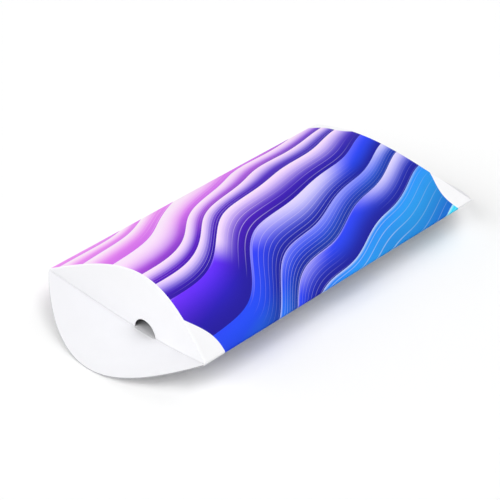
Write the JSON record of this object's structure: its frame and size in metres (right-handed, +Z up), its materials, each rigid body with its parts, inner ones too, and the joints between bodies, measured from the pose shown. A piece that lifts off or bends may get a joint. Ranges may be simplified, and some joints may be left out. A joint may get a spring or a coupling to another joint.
{
  "type": "pillow box",
  "caption": "Pillow-shaped folding boxboard gift box: two bowed panels joined along side folds, with curved end flaps, one tucked in with a thumb notch and one open at each end.",
  "frame": {"origin": "on the floor, under the middle of the bottom panel's belly", "axes": "+X across the box from the left side fold to the right, +Y along it from the front end to the back end, +Z up through the bows"},
  "size_m": [0.09, 0.2012, 0.029],
  "materials": {
    "printed_board": "satin printed face on folding boxboard",
    "white_board": "matte",
    "glue": "satin"
  },
  "bodies": {
    "sleeve": {"top_panel": "printed_board", "bottom_panel": "printed_board", "left_side_fold": "printed_board", "right_side_fold": "printed_board", "glue_flap": "white_board", "glue_line": "glue"},
    "front_top": {"front_top_flap": "white_board"},
    "front_bottom": {"front_bottom_flap": "white_board"},
    "back_top": {"back_top_flap": "white_board"},
    "back_bottom": {"back_bottom_flap": "white_board"}
  },
  "joints": [
    {"name": "front_top_crease", "type": "hinge", "parent": "sleeve", "child": "front_top", "pos_m": [0, -0.07, 0.029], "axis": [-1, 0, 0], "range_deg": [0, 92]},
    {"name": "front_bottom_crease", "type": "hinge", "parent": "sleeve", "child": "front_bottom", "pos_m": [0, -0.07, 0], "axis": [-1, 0, 0], "range_deg": [0, 92], "deforming": ["front_bottom_flap"]},
    {"name": "back_top_crease", "type": "hinge", "parent": "sleeve", "child": "back_top", "pos_m": [0, 0.07, 0.029], "axis": [1, 0, 0], "range_deg": [0, 92]},
    {"name": "back_bottom_crease", "type": "hinge", "parent": "sleeve", "child": "back_bottom", "pos_m": [0, 0.07, 0], "axis": [1, 0, 0], "range_deg": [0, 92], "deforming": ["back_bottom_flap"]}
  ]
}
